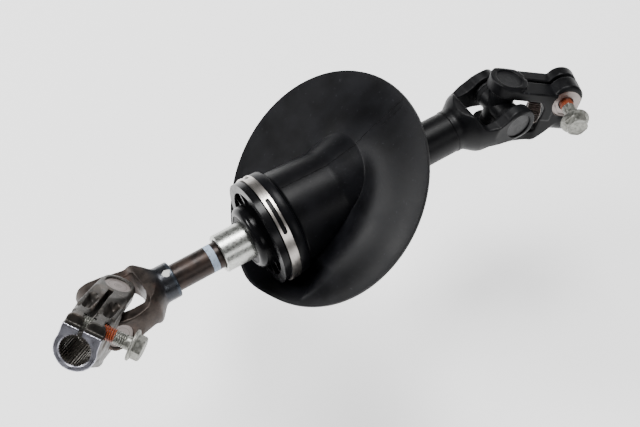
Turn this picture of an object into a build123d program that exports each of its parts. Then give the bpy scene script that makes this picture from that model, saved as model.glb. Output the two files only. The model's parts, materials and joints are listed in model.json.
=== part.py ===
# Intermediate steering shaft: two universal joints with pinch yokes, a telescoping
# middle, and a rubber dash boot that the upper tube turns in.
# The shaft axis is +X, from the lower joint to the upper joint, and +Z is up.
# The origin is on the shaft axis, at the front rim of the boot's hub.
from build123d import *
import os
from math import cos, hypot, radians, sin, tan

os.makedirs("parts", exist_ok=True)

# Pose of the two joints, in degrees: roll of the tube yoke about the shaft,
# swing of the cross about the tube yoke's pins, tilt about the clamp yoke's pins.
lower_roll, lower_swing, lower_tilt = 68.3, -39.5, -47.4
upper_roll, upper_swing, upper_tilt = 81.6, -22.3, -21.5

# Places along the shaft axis, in millimetres.
lower_joint_x = -96.75
upper_joint_x = 168.15
sleeve_mouth_x = -25.0
hub_front_x = 0.0
boot_front_x = 4.3
liner_start_x = 12.0
tube_start_x = 30.0
spigot_end_x = 58.0
tube_end_x = 131.0

# Sliding fits, press seats and running gaps. A cutting tool runs past its face by
# the overrun.
seat_gap = 0.02
slide_gap = 0.05
running_gap = 0.3
overrun = 1.0

# Shafts, tubes and the sliding joint.
shaft_radius = 8.0
shaft_flat = 6.6
shaft_length = 130.0
flat_length = 80.0
shaft_chamfer = 1.0
lower_shaft_start = 29.0
liner_radius = 9.0
liner_length = 43.0
sleeve_radius = 11.4
sleeve_chamfer = 0.5
spigot_radius = 10.2
tube_radius = 12.65
yoke_spigot_length = 12.0

# Lower universal joint.
lower_cup_radius = 7.35
lower_pin_reach = 20.6
lower_clamp_reach = 19.2
lower_ear_radius = 10.2
lower_tube_ear = 9.5
lower_barrel_radius = 10.7
lower_barrel_end = 42.5

# Upper universal joint.
upper_cup_radius = 8.05
upper_pin_reach = 20.1
upper_clamp_reach = 19.4
upper_ear_radius = 11.6
upper_barrel_radius = 13.0
upper_swell = 15.4

# Crosses, cups and their seals.
cap_recess = 1.0
cup_mouth = 12.0
cup_wall = 1.4
cup_floor = 2.2
trunnion_gap = 0.05
trunnion_end_gap = 0.1
core_shoulder = 1.0
core_reach = 9.0
seal_inset = 0.2

# Forged arms of all four yokes. The envelope that rounds them is turned about the
# yoke's axis and passes by a shoulder point.
tube_ear_inner = 13.6
clamp_ear_inner = 12.6
ear_limit = 12.5
ear_flat = 0.78
crotch = 24.0
crotch_round = 6.0
waist_start, waist_end = 13.0, 21.5
waist_round, swell_round = 4.0, 3.0
tube_waist = 7.2
lower_clamp_waist, upper_clamp_waist = 10.4, 8.2
root_run, shoulder_round, root_round = 4.0, 5.0, 5.0
tube_root_end, lower_root_end, upper_root_end = 37.0, 46.0, 38.0
tube_shoulder_drop, tube_shoulder_reach = 2.0, 26.0
clamp_shoulder_drop = 1.5
lower_shoulder_reach, upper_shoulder_reach = 30.0, 25.5
barrel_start = 25.5

# Clamp yokes: serrated bore, slotted slab and pinch lobes.
bore_minor = 8.1
bore_major = 8.9
teeth = 36
tooth_land = 4.6
tooth_root = 2.0
lower_clamp_barrel, upper_clamp_barrel = 12.0, 10.9
slot_width = 2.6
slot_start = 10.4
lower_slot_shift, upper_slot_shift = 0.6, -1.9
lower_clamp_length = 51.7
upper_clamp_length = 47.4
lower_bolt_height, lower_bolt_reach = 12.6, 42.6
upper_bolt_height, upper_bolt_reach = 12.6, 37.2
slab_start = 11.0
lower_slab_top, lower_slab_height = 19.1, 17.2
upper_slab_height = 18.6
lower_slab_end, upper_slab_end = 34.0, 16.0
lower_slab_half, upper_slab_half = 11.3, 11.4
lower_head_seat, lower_far_side = 11.2, 11.4
upper_head_seat, upper_far_side = 9.9, 11.4
lower_lobe_start, lower_lobe_end = 33.0, 47.4
lower_lobe_round = 4.0
lower_foot_height = 12.0
upper_lobe_radius = 9.4
upper_lobe_rise = 3.4
lobe_chamfer = 1.2
dish_reach, dish_side = 28.0, 6.2
dish_length, dish_width, dish_round = 18.0, 7.4, 3.4
dish_depth, dish_taper = 3.4, 32.0
spot_face_radius, spot_face_depth = 9.2, 0.5

# Pinch bolts, M8 with a flange.
bolt_radius = 4.0
bolt_hole_gap = 0.35
bolt_length = 34.0
bolt_flange_radius = 8.75
bolt_flange = 1.8
bolt_hex = 12.0
bolt_head = 4.8
bolt_tip_chamfer = 1.0
lower_bolt_stand, upper_bolt_stand = 25.0, 25.4

# Hub that the tube turns in.
hub_radius = 31.3
hub_lip = 4.0
hub_seat_radius = 28.4
hub_length = 13.0
hub_wall = 2.4
boss_radius = 19.0
boss_front = 7.4
boss_back = 15.0
boss_round = 3.6
boss_lip_radius = 15.0
web_x = 8.0
web_thickness = 2.4
rib_count = 12
rib_thickness = 1.8
rib_front_x = 1.5
bush_radius = 14.0
bush_length = 17.0
seal_lip_length = 2.6

# Band clamp round the boot's collar, with the angles where its slots begin and end.
band_thickness = 1.0
band_width = 5.4
band_slot_width = 2.6
band_windows = ((2.0, 38.0), (-84.0, -44.0), (100.0, 140.0))

# Dash boot.
collar_radius = 31.25
collar_ridge_radius = 31.9
collar_end_x = 16.6
ridge_round = 1.2
groove_gap = 0.2
groove_depth = 0.8
neck_radius = 28.6
neck_top_radius = 27.6
neck_step_x = 48.5
neck_flare = 15.0
boot_wall = 2.4
dash_slope = 53.0
dash_roll = 10.8
dash_x = 33.6
flange_radius = 69.5
flange_shift = 15.6
flange_side_shift = -3.7
flange_thickness = 2.4
well_floor_x = 19.2
well_wall = 1.8

SHAFT = Vector(1, 0, 0)


def side_of(frame):
    """Plane across a yoke: its x is the pin axis and its y the yoke's own axis."""
    return Plane(frame.origin, x_dir=frame.x_dir, z_dir=-frame.y_dir)


def front_of(frame):
    """Plane along a yoke: its x is the bolt axis and its y the yoke's own axis."""
    return Plane(frame.origin, x_dir=frame.y_dir, z_dir=frame.x_dir)


def joint_frames(centre_x, outward, roll, swing, tilt, slot_side):
    """Frames of a universal joint's two yokes, each with x on its pins and z along it.

    The tube yoke points back to the middle of the shaft, the clamp yoke away from it.
    """
    centre = Vector(centre_x, 0, 0)
    away = SHAFT * outward
    tube_pin = Vector(0, -sin(radians(roll)), cos(radians(roll)))
    about_tube_pin = Axis((0, 0, 0), tuple(tube_pin))
    clamp_pin = tube_pin.cross(away).rotate(about_tube_pin, swing)
    about_clamp_pin = Axis((0, 0, 0), tuple(clamp_pin))
    clamp_axis = away.rotate(about_tube_pin, swing).rotate(about_clamp_pin, tilt)
    tube_frame = Plane(centre, x_dir=tube_pin, z_dir=away * -1)
    clamp_frame = Plane(centre, x_dir=clamp_pin * slot_side, z_dir=clamp_axis)
    return tube_frame, clamp_frame


lower_tube_frame, lower_clamp_frame = joint_frames(
    lower_joint_x, -1, lower_roll, lower_swing, lower_tilt, -1
)
upper_tube_frame, upper_clamp_frame = joint_frames(
    upper_joint_x, 1, upper_roll, upper_swing, upper_tilt, 1
)


def pin_plane(frame, sign, distance):
    """Plane square to a yoke's pins, at a distance from the joint centre."""
    origin = frame.origin + frame.x_dir * (sign * distance)
    return Plane(origin, x_dir=frame.z_dir, z_dir=frame.x_dir * sign)


def bolt_plane(frame, height, reach, offset, sign):
    """Plane square to a pinch bolt, at an offset along it from the yoke's middle."""
    origin = frame.origin + frame.x_dir * height + frame.z_dir * reach
    origin = origin + frame.y_dir * (sign * offset)
    return Plane(origin, x_dir=frame.z_dir, z_dir=frame.y_dir * sign)


def arm_side(ear_inner, ear_out, crown):
    """Outline of one arm seen along the bolt axis, up to a height called crown."""
    with BuildLine() as outline:
        Polyline(
            (0, crown),
            (0, crotch),
            (ear_inner - crotch_round, crotch),
        )
        RadiusArc(
            (ear_inner - crotch_round, crotch),
            (ear_inner, crotch - crotch_round),
            crotch_round,
        )
        Polyline(
            (ear_inner, crotch - crotch_round),
            (ear_inner, -ear_limit),
            (ear_out, -ear_limit),
            (ear_out, crown),
            (0, crown),
        )
    return outline.line


def arm_front(ear_radius, waist, swell, crown):
    """Outline of an arm seen along its pin: a round ear, a waist and a wider root."""
    with BuildSketch() as outline:
        Circle(ear_radius)
        with BuildLine():
            FilletPolyline(
                (ear_radius, 0),
                (waist, waist_start),
                (waist, waist_end),
                (swell, crotch),
                (swell, crown),
                radius=(waist_round, waist_round, swell_round),
            )
            Polyline((swell, crown), (0, crown), (0, 0), (ear_radius, 0))
        make_face()
        mirror(about=Plane.YZ)
    return outline.sketch


def yoke_arms(frame, inner, ear, waist, swell, root_radius, root_end, shoulder):
    """Two forged arms with round ears, inner mm from the yoke's axis inside.

    A side outline and a front outline are crossed, and a turned envelope, which
    passes by the shoulder point, rounds the arms into the barrel. ear is the ears'
    outer reach and radius, and swell the half width of the arms' common root.
    """
    ear_out, ear_radius = ear
    reach = hypot(ear_out, ear_radius)
    turned = hypot(ear_out, ear_flat * ear_radius)
    with BuildPart() as arms:
        with BuildSketch(side_of(frame)):
            with BuildLine():
                add(arm_side(inner, ear_out, root_end))
            make_face()
            mirror(about=Plane.YZ)
        extrude(amount=reach, both=True)
        with BuildSketch(front_of(frame)):
            add(arm_front(ear_radius, waist, swell, root_end))
        extrude(amount=reach, both=True, mode=Mode.INTERSECT)
        with BuildSketch(side_of(frame)):
            with BuildLine():
                FilletPolyline(
                    (turned, -ear_limit),
                    (turned, ear_radius),
                    shoulder,
                    (root_radius, root_end - root_run),
                    (root_radius, root_end),
                    radius=(shoulder_round, shoulder_round, root_round),
                )
                Polyline(
                    (root_radius, root_end),
                    (0, root_end),
                    (0, -ear_limit),
                    (turned, -ear_limit),
                )
            make_face()
        revolve(axis=Axis(frame.origin, frame.z_dir), mode=Mode.INTERSECT)
    return arms.part


def cup_seats(frame, cup_radius, ear_out):
    """Round holes through both ears, which the bearing cups are pressed into."""
    with BuildPart() as holes:
        with BuildSketch(pin_plane(frame, 1, 0)):
            Circle(cup_radius + seat_gap)
        extrude(amount=ear_out + overrun, both=True)
    return holes.part


def tube_yoke(frame, pin_reach, ear_radius, cup_radius, barrel_radius, swell, end):
    """Tube yoke: forged arms that run into a round barrel."""
    ear_out = pin_reach + cap_recess
    shoulder = (pin_reach - tube_shoulder_drop, tube_shoulder_reach)
    with BuildPart() as yoke:
        add(yoke_arms(
            frame, tube_ear_inner, (ear_out, ear_radius), tube_waist, swell,
            barrel_radius, tube_root_end, shoulder,
        ))
        with BuildSketch(frame.offset(barrel_start)):
            Circle(barrel_radius)
        extrude(amount=end - barrel_start)
        add(cup_seats(frame, cup_radius, ear_out), mode=Mode.SUBTRACT)
    return yoke.part


def serrated_bore(frame, start, end):
    """Bore with straight serrations whose crests lie on the minor radius."""
    depth = bore_major - bore_minor
    crest_gap = 2 * bore_minor * sin(radians((360 / teeth - tooth_land) / 2))
    root_width = 2 * bore_major * sin(radians(tooth_root / 2))
    with BuildPart() as bore:
        with BuildSketch(frame.offset(start)):
            Circle(bore_minor)
            with PolarLocations(bore_minor, teeth):
                Polygon(
                    (-depth / 2, -crest_gap / 2),
                    (0, -crest_gap / 2),
                    (depth, -root_width / 2),
                    (depth, root_width / 2),
                    (0, crest_gap / 2),
                    (-depth / 2, crest_gap / 2),
                    align=None,
                )
        extrude(amount=end - start)
    return bore.part


def slotted_slab(frame, ear_radius, top, height, end, half_width, reach):
    """The slotted arm's slab, whose top slopes down to a height at the pinch lobes."""
    with BuildPart() as slab:
        with BuildSketch(side_of(frame)):
            with BuildLine():
                add(arm_side(clamp_ear_inner, top, reach))
            make_face()
            Polygon(
                (0, 0),
                (top, 0),
                (top, slab_start),
                (height, end),
                (height, reach),
                (0, reach),
                align=None,
                mode=Mode.INTERSECT,
            )
        extrude(amount=half_width, both=True)
        with BuildSketch(front_of(frame)):
            Polygon(
                (-ear_radius, 0),
                (ear_radius, 0),
                (half_width, end),
                (half_width, reach),
                (-half_width, reach),
                (-half_width, end),
                align=None,
            )
        extrude(amount=top, mode=Mode.INTERSECT)
    return slab.part


def arched_lobes(frame):
    """Lower pinch lobes: two humps with rounded tops, and a foot down to the end face."""
    gap = slot_width / 4
    with BuildPart() as lobes:
        with BuildSketch(frame.offset(lower_lobe_start)) as humps:
            for sign, seat in ((1, lower_far_side), (-1, lower_head_seat)):
                inner = lower_slot_shift + sign * gap
                with Locations((lower_slab_height / 2, (inner + sign * seat) / 2)):
                    Rectangle(lower_slab_height, abs(sign * seat - inner))
            tops = humps.vertices().filter_by_position(
                Axis.X, lower_foot_height, lower_slab_height
            )
            fillet(tops, lower_lobe_round)
        extrude(amount=lower_lobe_end - lower_lobe_start)
        with BuildSketch(frame.offset(lower_lobe_start)):
            with Locations((lower_foot_height / 2, (lower_far_side - lower_head_seat) / 2)):
                Rectangle(lower_foot_height, lower_far_side + lower_head_seat)
        extrude(amount=lower_clamp_length - lower_lobe_start)
    return lobes.part


def turned_lobes(frame):
    """Upper pinch lobes, round about the bolt."""
    with BuildPart() as lobes:
        far_face = bolt_plane(frame, 0, upper_bolt_reach, -upper_far_side, 1)
        centre = upper_bolt_height + upper_lobe_rise
        with BuildSketch(far_face):
            with Locations((0, centre)):
                Circle(upper_lobe_radius)
            with Locations((0, centre / 2)):
                Rectangle(2 * upper_lobe_radius, centre)
        extrude(amount=upper_head_seat + upper_far_side)
        ends = lobes.faces().filter_by(Axis(frame.origin, frame.y_dir))
        chamfer(ends.edges().filter_by(GeomType.CIRCLE), lobe_chamfer)
    return lobes.part


def clamp_yoke(frame, ear, cup_radius, length, arms, slab, lobes):
    """Clamp yoke before its cuts: a plain arm, a slotted arm and the pinch lobes.

    arms is the arms' waist, their shoulder's reach, their root's end and the barrel's
    radius, and slab the slotted arm's top, its height at the lobes, the end of its
    slope, its half width and its own end.
    """
    waist, shoulder_reach, root_end, barrel_radius = arms
    shoulder = (ear[0] - clamp_shoulder_drop, shoulder_reach)
    with BuildPart() as yoke:
        add(yoke_arms(
            frame, clamp_ear_inner, ear, waist, barrel_radius, barrel_radius, root_end,
            shoulder,
        ))
        with BuildSketch(frame.offset(barrel_start)):
            Circle(barrel_radius)
        extrude(amount=length - barrel_start)
        add(slotted_slab(frame, ear[1], *slab))
        add(lobes)
        bore = serrated_bore(frame, crotch - crotch_round, length + overrun)
        add(bore, mode=Mode.SUBTRACT)
        add(cup_seats(frame, cup_radius, ear[0]), mode=Mode.SUBTRACT)
    return yoke.part


def pinch_cuts(frame, length, bolt, outward, slot_shift):
    """The pinch slot, the clearance hole under the head and the tapped hole beyond."""
    height, reach = bolt
    slot_end = length + overrun
    slot_top = height + 2 * upper_lobe_radius
    with BuildPart() as cuts:
        with BuildSketch(side_of(frame).offset(-slot_shift)):
            with Locations((slot_top / 2, (slot_start + slot_end) / 2)):
                Rectangle(slot_top, slot_end - slot_start)
        extrude(amount=slot_width / 2, both=True)
        with BuildSketch(bolt_plane(frame, height, reach, 0, outward)):
            Circle(bolt_radius + bolt_hole_gap)
        extrude(amount=lower_slab_half + overrun)
        with BuildSketch(bolt_plane(frame, height, reach, 0, -outward)):
            Circle(bolt_radius + seat_gap)
        extrude(amount=lower_slab_half + overrun)
    return cuts.part


def cross(frame_a, frame_b, reach_a, reach_b, cup_radius):
    """Cross of a universal joint: a forged core with four ground trunnions."""
    journal = cup_radius - cup_wall - trunnion_gap
    with BuildPart() as spider:
        for frame, reach in ((frame_a, reach_a), (frame_b, reach_b)):
            with BuildSketch(pin_plane(frame, 1, 0)):
                Circle(journal + core_shoulder)
            extrude(amount=core_reach, both=True)
            with BuildSketch(pin_plane(frame, 1, 0)):
                Circle(journal)
            extrude(amount=reach - cup_floor - trunnion_end_gap, both=True)
    return spider.part


def cups(frame, reach, cup_radius):
    """The two bearing cups of one yoke, open towards the cross."""
    with BuildPart() as pair:
        for sign in (1, -1):
            with BuildSketch(pin_plane(frame, sign, cup_mouth)):
                Circle(cup_radius)
            extrude(amount=reach - cup_mouth)
            with BuildSketch(pin_plane(frame, sign, cup_mouth)):
                Circle(cup_radius - cup_wall)
            extrude(amount=reach - cup_floor - cup_mouth, mode=Mode.SUBTRACT)
    return pair.part


def cross_seals(frame_a, frame_b, cup_radius):
    """Four rubber rings on the trunnions, between the core and the cups' mouths."""
    journal = cup_radius - cup_wall - trunnion_gap
    with BuildPart() as rings:
        for frame in (frame_a, frame_b):
            for sign in (1, -1):
                with BuildSketch(pin_plane(frame, sign, core_reach)):
                    Circle(cup_radius - seal_inset)
                    Circle(journal + seat_gap, mode=Mode.SUBTRACT)
                extrude(amount=cup_mouth - running_gap - core_reach)
    return rings.part


def pinch_bolt(frame, bolt, stand, outward):
    """Flange bolt that stands off the yoke, with its thread in the far lobe."""
    height, reach = bolt
    seat = bolt_plane(frame, height, reach, stand, outward)
    with BuildPart() as fastener:
        with BuildSketch(seat):
            Circle(bolt_flange_radius)
        extrude(amount=bolt_flange)
        with BuildSketch(seat.offset(bolt_flange)):
            RegularPolygon(bolt_hex / 2, 6, major_radius=False)
        extrude(amount=bolt_head)
        with BuildSketch(seat):
            Circle(bolt_radius)
        extrude(amount=-bolt_length)
        tip = fastener.faces().sort_by(Axis(seat.origin, seat.z_dir))[0]
        chamfer(tip.edges(), bolt_tip_chamfer)
    return fastener.part


def ring(start, end, inner, outer):
    """Plain ring about the shaft axis."""
    with BuildPart() as band:
        with BuildSketch(Plane.YZ.offset(start)):
            Circle(outer)
            Circle(inner, mode=Mode.SUBTRACT)
        extrude(amount=end - start)
    return band.part


# Lower joint.
lower_bolt = (lower_bolt_height, lower_bolt_reach)
lower_tube_yoke = tube_yoke(
    lower_tube_frame, lower_pin_reach, lower_tube_ear, lower_cup_radius,
    lower_barrel_radius, lower_barrel_radius, lower_barrel_end,
)
with BuildPart() as shaft_socket:
    with BuildSketch(lower_tube_frame.offset(lower_shaft_start)):
        Circle(shaft_radius + seat_gap)
    extrude(amount=lower_barrel_end)
lower_tube_yoke = lower_tube_yoke - shaft_socket.part
lower_tube_yoke.label = "lower_tube_yoke"

# Two dishes beside the slot lighten the lower clamp yoke's slab.
with BuildPart() as dishes:
    slope_middle = (lower_slab_top + lower_slab_height) / 2
    with BuildSketch(pin_plane(lower_clamp_frame, 1, slope_middle + overrun)):
        for side in (1, -1):
            with Locations((dish_reach, side * dish_side)):
                RectangleRounded(dish_length, dish_width, dish_round)
    extrude(amount=-dish_depth - overrun, taper=dish_taper)
lower_clamp_yoke = clamp_yoke(
    lower_clamp_frame, (lower_clamp_reach + cap_recess, lower_ear_radius),
    lower_cup_radius, lower_clamp_length,
    (lower_clamp_waist, lower_shoulder_reach, lower_root_end, lower_clamp_barrel),
    (
        lower_slab_top, lower_slab_height, lower_slab_end, lower_slab_half,
        lower_lobe_start + overrun,
    ),
    arched_lobes(lower_clamp_frame),
)
lower_clamp_yoke = lower_clamp_yoke - dishes.part - pinch_cuts(
    lower_clamp_frame, lower_clamp_length, lower_bolt, -1, lower_slot_shift
)
lower_clamp_yoke.label = "lower_clamp_yoke"
lower_cross = cross(
    lower_tube_frame, lower_clamp_frame, lower_pin_reach, lower_clamp_reach,
    lower_cup_radius,
)
lower_cross.label = "lower_cross"
lower_tube_cups = cups(lower_tube_frame, lower_pin_reach, lower_cup_radius)
lower_tube_cups.label = "lower_tube_cups"
lower_clamp_cups = cups(lower_clamp_frame, lower_clamp_reach, lower_cup_radius)
lower_clamp_cups.label = "lower_clamp_cups"
lower_cross_seals = cross_seals(lower_tube_frame, lower_clamp_frame, lower_cup_radius)
lower_cross_seals.label = "lower_cross_seals"
lower_pinch_bolt = pinch_bolt(lower_clamp_frame, lower_bolt, lower_bolt_stand, -1)
lower_pinch_bolt.label = "lower_pinch_bolt"

# Upper joint.
upper_bolt = (upper_bolt_height, upper_bolt_reach)
upper_lobe_start = upper_bolt_reach - upper_lobe_radius
upper_barrel_end = upper_joint_x - tube_end_x
upper_tube_yoke = tube_yoke(
    upper_tube_frame, upper_pin_reach, upper_ear_radius, upper_cup_radius,
    upper_barrel_radius, upper_swell, upper_barrel_end,
)
with BuildPart() as yoke_spigot:
    with BuildSketch(upper_tube_frame.offset(upper_barrel_end)):
        Circle(spigot_radius)
    extrude(amount=yoke_spigot_length)
upper_tube_yoke = upper_tube_yoke + yoke_spigot.part
upper_tube_yoke.label = "upper_tube_yoke"

upper_clamp_yoke = clamp_yoke(
    upper_clamp_frame, (upper_clamp_reach + cap_recess, upper_ear_radius),
    upper_cup_radius, upper_clamp_length,
    (upper_clamp_waist, upper_shoulder_reach, upper_root_end, upper_clamp_barrel),
    (
        upper_slab_height, upper_slab_height, upper_slab_end, upper_slab_half,
        upper_lobe_start + 2 * overrun,
    ),
    turned_lobes(upper_clamp_frame),
)
# The slab lies lower than the round face of its ear.
with BuildPart() as ear_step:
    with BuildSketch(pin_plane(upper_clamp_frame, 1, upper_slab_height)):
        with Locations((upper_lobe_start / 2, 0)):
            Rectangle(upper_lobe_start, 3 * upper_ear_radius)
        Circle(upper_ear_radius, mode=Mode.SUBTRACT)
    extrude(amount=upper_clamp_reach)
with BuildPart() as spot_face:
    with BuildSketch(bolt_plane(upper_clamp_frame, *upper_bolt, upper_head_seat, 1)):
        Circle(spot_face_radius)
    extrude(amount=-spot_face_depth)
upper_clamp_yoke = upper_clamp_yoke - ear_step.part - spot_face.part - pinch_cuts(
    upper_clamp_frame, upper_clamp_length, upper_bolt, 1, upper_slot_shift
)
upper_clamp_yoke.label = "upper_clamp_yoke"
upper_cross = cross(
    upper_tube_frame, upper_clamp_frame, upper_pin_reach, upper_clamp_reach,
    upper_cup_radius,
)
upper_cross.label = "upper_cross"
upper_tube_cups = cups(upper_tube_frame, upper_pin_reach, upper_cup_radius)
upper_tube_cups.label = "upper_tube_cups"
upper_clamp_cups = cups(upper_clamp_frame, upper_clamp_reach, upper_cup_radius)
upper_clamp_cups.label = "upper_clamp_cups"
upper_cross_seals = cross_seals(upper_tube_frame, upper_clamp_frame, upper_cup_radius)
upper_cross_seals.label = "upper_cross_seals"
upper_pinch_bolt = pinch_bolt(upper_clamp_frame, upper_bolt, upper_bolt_stand, 1)
upper_pinch_bolt.label = "upper_pinch_bolt"

# Lower shaft: round where it shows, with two flats that carry the turning force.
shaft_start_x = lower_joint_x + lower_shaft_start
shaft_end_x = shaft_start_x + shaft_length
flat_start_x = shaft_end_x - flat_length
with BuildPart() as lower_shaft:
    with BuildSketch(Plane.YZ.offset(shaft_start_x)):
        Circle(shaft_radius)
    extrude(amount=shaft_length)
    with BuildSketch(Plane.YZ.offset(flat_start_x)):
        Rectangle(3 * shaft_radius, 3 * shaft_radius)
        Rectangle(3 * shaft_radius, 2 * shaft_flat, mode=Mode.SUBTRACT)
    extrude(amount=flat_length, mode=Mode.SUBTRACT)
    chamfer(lower_shaft.faces().sort_by(Axis.X)[-1].edges(), shaft_chamfer)
lower_shaft.part.label = "lower_shaft"

# Plastic slip liner with the matching flats.
with BuildPart() as slip_liner:
    with BuildSketch(Plane.YZ.offset(liner_start_x)):
        Circle(liner_radius)
        with BuildSketch(mode=Mode.PRIVATE) as flats:
            Circle(shaft_radius + slide_gap)
            Rectangle(
                2 * liner_radius, 2 * (shaft_flat + slide_gap), mode=Mode.INTERSECT
            )
        add(flats.sketch, mode=Mode.SUBTRACT)
    extrude(amount=liner_length)
slip_liner.part.label = "slip_liner"

# Zinc-plated slide sleeve, stepped down to a spigot inside the upper tube.
with BuildPart() as slide_sleeve:
    with BuildSketch(Plane.XY):
        with BuildLine():
            Polyline(
                (sleeve_mouth_x, liner_radius + seat_gap),
                (sleeve_mouth_x, sleeve_radius),
                (tube_start_x, sleeve_radius),
                (tube_start_x, spigot_radius),
                (spigot_end_x, spigot_radius),
                (spigot_end_x, liner_radius + seat_gap),
                close=True,
            )
        make_face()
    revolve(axis=Axis.X)
    chamfer(slide_sleeve.faces().sort_by(Axis.X)[0].edges(), sleeve_chamfer)
slide_sleeve.part.label = "slide_sleeve"

upper_tube = ring(tube_start_x, tube_end_x, spigot_radius + seat_gap, tube_radius)
upper_tube.label = "upper_tube"

# Hub of the boot: an outer rim and a cup-shaped boss, joined by a web and ribs.
hub_inner = hub_seat_radius - hub_wall
bush_start_x = seal_lip_length - boss_front
bush_end_x = bush_start_x + bush_length
with BuildPart() as hub:
    with BuildSketch(Plane.XY):
        with BuildLine():
            Polyline(
                (hub_front_x, hub_inner),
                (hub_front_x, hub_radius),
                (hub_lip, hub_radius),
                (hub_lip, hub_seat_radius),
                (hub_length, hub_seat_radius),
                (hub_length, hub_inner),
                (web_x + web_thickness, hub_inner),
                (web_x + web_thickness, boss_radius),
                (boss_back, boss_radius),
                (boss_back, sleeve_radius + running_gap),
                (bush_end_x, sleeve_radius + running_gap),
                (bush_end_x, bush_radius + seat_gap),
                (bush_start_x, bush_radius + seat_gap),
                (bush_start_x, boss_lip_radius),
                (-boss_front, boss_lip_radius),
                (-boss_front, boss_radius),
                (web_x, boss_radius),
                (web_x, hub_inner),
                close=True,
            )
        make_face()
    revolve(axis=Axis.X)
    with BuildSketch(Plane.YZ.offset(web_x)):
        with PolarLocations((boss_radius + hub_inner) / 2, rib_count):
            Rectangle(hub_inner - boss_radius + overrun, rib_thickness)
    extrude(amount=rib_front_x - web_x)
    boss_rim = hub.faces().sort_by(Axis.X)[0].outer_wire().edges()
    fillet(boss_rim, boss_round)
hub.part.label = "hub"

hub_bush = ring(bush_start_x, bush_end_x, sleeve_radius + slide_gap, bush_radius)
hub_bush.label = "hub_bush"
hub_seal = ring(
    running_gap - boss_front, bush_start_x, sleeve_radius + running_gap,
    boss_lip_radius - seat_gap,
)
hub_seal.label = "hub_seal"

# Band clamp with slotted stretches between plain ones.
band_start_x = boot_front_x + running_gap
band_inner = collar_radius + seat_gap
band_outer = band_inner + band_thickness
band_end_x = band_start_x + band_width
band_middle_x = band_start_x + band_width / 2
well_radius = band_outer + running_gap
with BuildPart() as band_clamp:
    add(ring(band_start_x, band_end_x, band_inner, band_outer))
    for first, last in band_windows:
        for angle in (first, last):
            turned = Plane((band_middle_x, 0, 0), x_dir=(1, 0, 0), z_dir=(0, 0, 1))
            turned = turned.rotated((angle, 0, 0))
            with BuildSketch(turned):
                Circle(band_slot_width / 2)
            extrude(amount=band_outer + overrun, mode=Mode.SUBTRACT)
        slot_plane = Plane.XZ.rotated((first, 0, 0))
        with BuildSketch(slot_plane):
            with Locations((band_middle_x, band_outer)):
                Rectangle(band_slot_width, 4 * band_thickness)
        revolve(axis=Axis.X, revolution_arc=last - first, mode=Mode.SUBTRACT)
band_clamp.part.label = "band_clamp"

# Dash boot: collar and neck turned about the shaft, cut by the slanted dash plane.
slope, turn = radians(dash_slope), radians(dash_roll)
dash_normal = Vector(cos(slope), -sin(slope) * sin(turn), -sin(slope) * cos(turn))
dash_up = Vector(sin(slope), cos(slope) * sin(turn), cos(slope) * cos(turn))
dash_point = Vector(dash_x, 0, 0)
dash_plane = Plane(dash_point, x_dir=dash_up, z_dir=dash_normal)
flange_centre = (
    dash_point + dash_up * flange_shift + dash_plane.y_dir * flange_side_shift
)
flange_plane = Plane(flange_centre, x_dir=dash_up, z_dir=dash_normal)
neck_end_x = dash_x + 2 * neck_radius * tan(slope)
neck_end_radius = neck_top_radius + (neck_end_x - neck_step_x) * tan(radians(neck_flare))
hub_seat_end_x = hub_length + running_gap
well_end_x = well_floor_x + boot_wall
with BuildPart() as collar:
    with BuildSketch(Plane.XY):
        with BuildLine():
            Polyline(
                (boot_front_x, 0),
                (boot_front_x, collar_radius),
                (band_end_x + groove_gap, collar_radius),
                (band_end_x + groove_gap, collar_ridge_radius),
                (collar_end_x - ridge_round, collar_ridge_radius),
                (collar_end_x, collar_ridge_radius - ridge_round),
                (collar_end_x, neck_radius),
                (collar_end_x + groove_depth, neck_radius - groove_depth),
                (collar_end_x + 2 * groove_depth, neck_radius),
                (well_end_x, neck_radius),
                (well_end_x, 0),
                close=True,
            )
        make_face()
    revolve(axis=Axis.X)
with BuildPart() as neck:
    with BuildSketch(Plane.XY):
        with BuildLine():
            Polyline(
                (well_end_x, 0),
                (well_end_x, neck_radius),
                (neck_step_x, neck_top_radius),
                (neck_end_x, neck_end_radius),
                (neck_end_x, 0),
                close=True,
            )
        make_face()
    revolve(axis=Axis.X)
    split(bisect_by=dash_plane, keep=Keep.BOTTOM)
# A well in the flange makes room for the hub on the side away from the tube.
with BuildPart() as well:
    with BuildSketch(Plane.YZ.offset(-flange_radius)):
        Circle(well_radius + well_wall)
    extrude(amount=flange_radius + well_end_x)
    split(bisect_by=dash_plane, keep=Keep.TOP)
with BuildPart() as boot:
    with BuildSketch(flange_plane):
        Circle(flange_radius)
    extrude(amount=flange_thickness)
    add(well.part)
    with BuildSketch(Plane.YZ.offset(-flange_radius)):
        Circle(well_radius)
    extrude(amount=flange_radius + well_floor_x, mode=Mode.SUBTRACT)
    add(collar.part)
    add(neck.part)
    with BuildSketch(Plane.XY):
        with BuildLine():
            Polyline(
                (boot_front_x - overrun, 0),
                (boot_front_x - overrun, hub_seat_radius + seat_gap),
                (hub_seat_end_x, hub_seat_radius + seat_gap),
                (hub_seat_end_x, neck_radius - boot_wall),
                (neck_step_x, neck_top_radius - boot_wall),
                (neck_end_x, neck_end_radius - boot_wall),
                (neck_end_x, 0),
                close=True,
            )
        make_face()
    revolve(axis=Axis.X, mode=Mode.SUBTRACT)
boot.part.label = "boot"

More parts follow.
